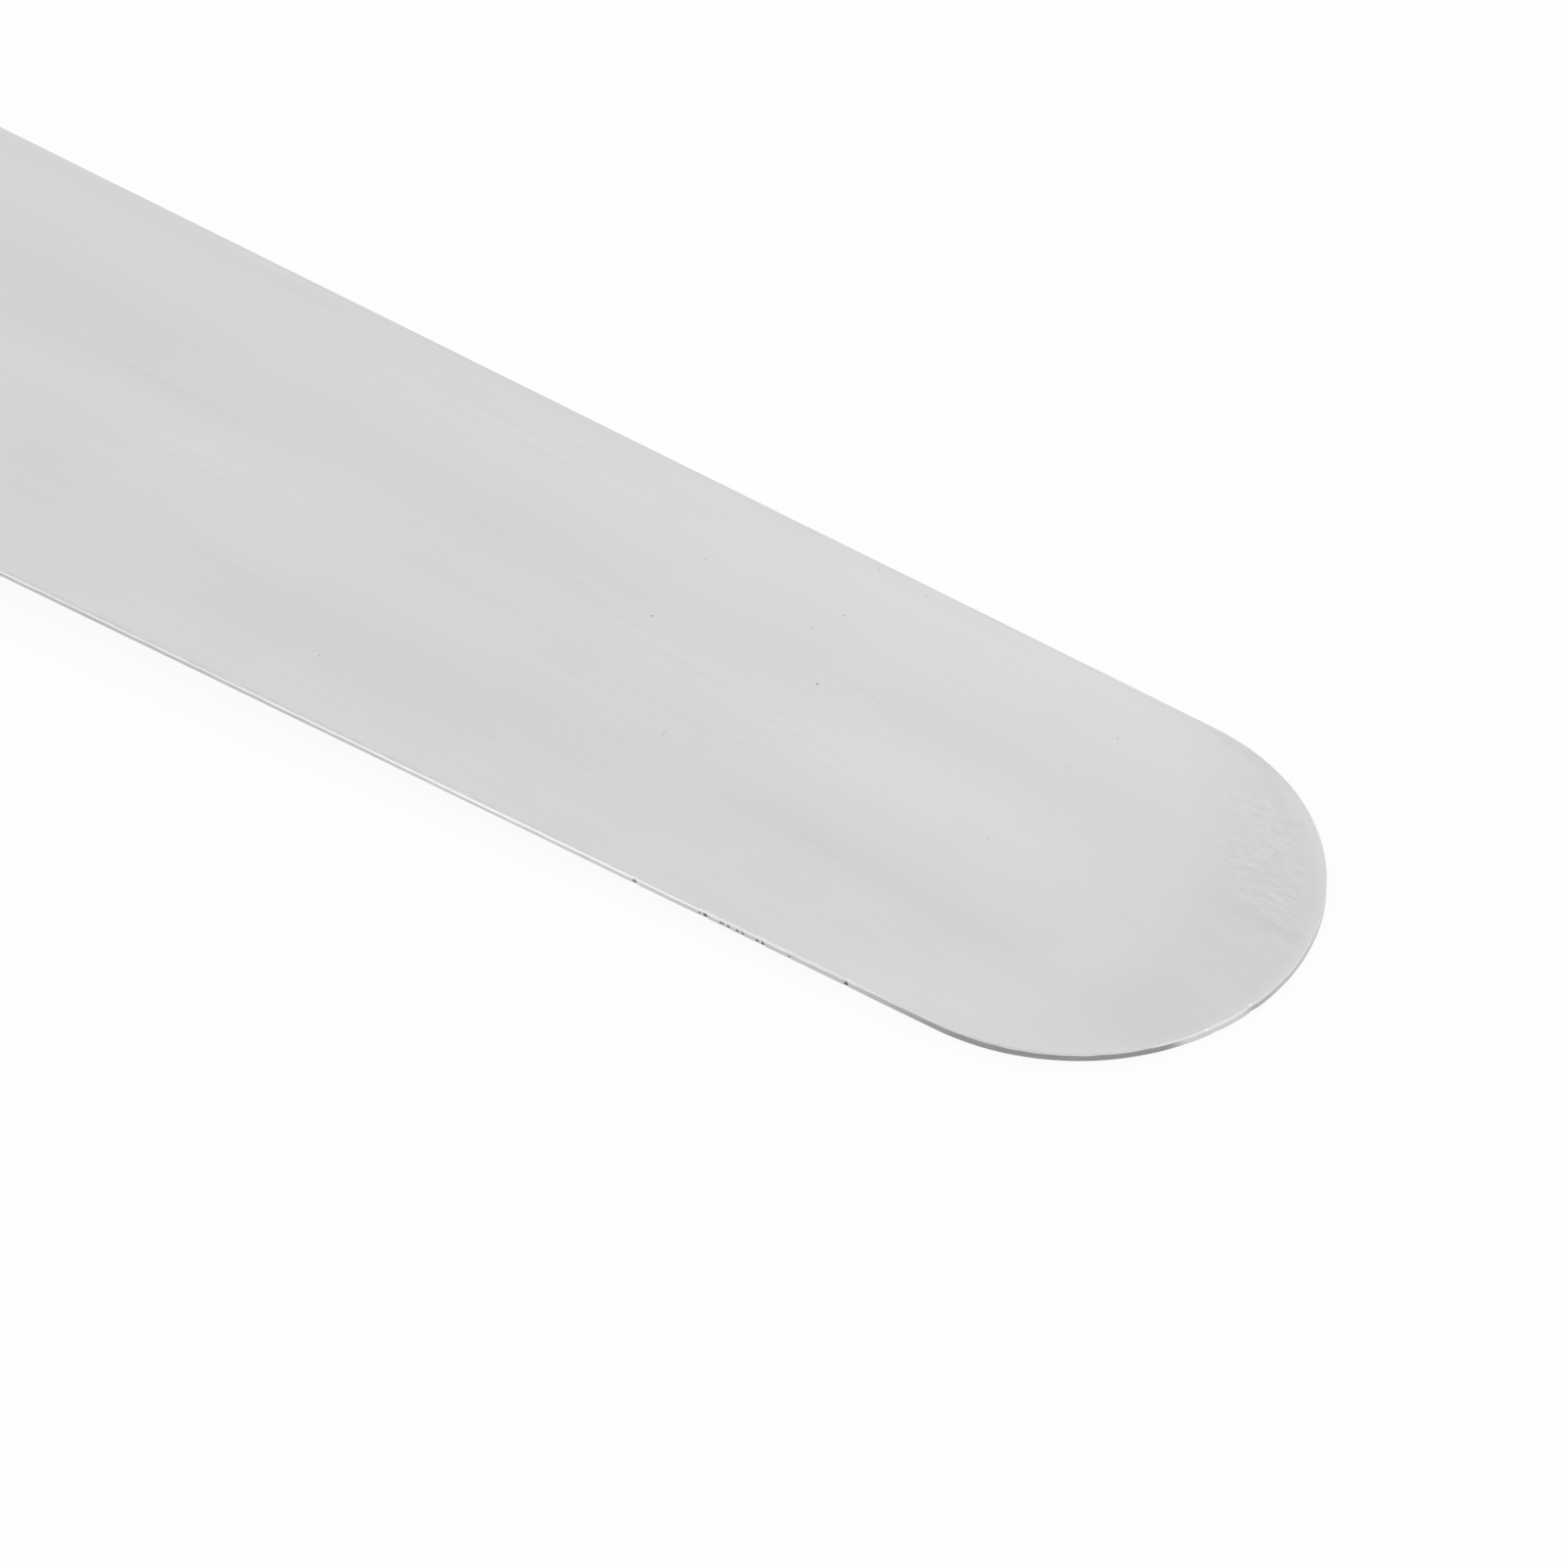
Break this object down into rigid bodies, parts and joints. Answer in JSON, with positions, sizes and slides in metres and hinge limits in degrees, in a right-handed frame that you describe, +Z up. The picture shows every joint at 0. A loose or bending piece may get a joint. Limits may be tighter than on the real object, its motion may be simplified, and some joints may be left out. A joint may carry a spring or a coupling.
{
  "type": "icing spatula",
  "caption": "Straight icing spatula: a thin springy steel blade with a half-round nose on a full tang between riveted hardwood scales, for spreading and smoothing icing.",
  "frame": {"origin": "under the middle of the tool's length and width, level with the lowest point of the handle's underside", "axes": "+X along the tool to the blade's nose, +Y across the blade, +Z up, square to the blade's faces"},
  "size_m": [0.374, 0.042, 0.0186],
  "materials": {
    "blade_steel": "satin, brushed lengthwise, with a ground nose",
    "handle_wood": "sanded hardwood, oiled",
    "rivet_brass": "sanded flush, satin"
  },
  "bodies": {
    "root": {"blade": "blade_steel", "upper_scale": "handle_wood", "lower_scale": "handle_wood", "rivet_stud_front": "rivet_brass", "rivet_stud_middle": "rivet_brass", "rivet_stud_rear": "rivet_brass", "rivet_sleeve_front": "rivet_brass", "rivet_sleeve_middle": "rivet_brass", "rivet_sleeve_rear": "rivet_brass"}
  },
  "joints": []
}
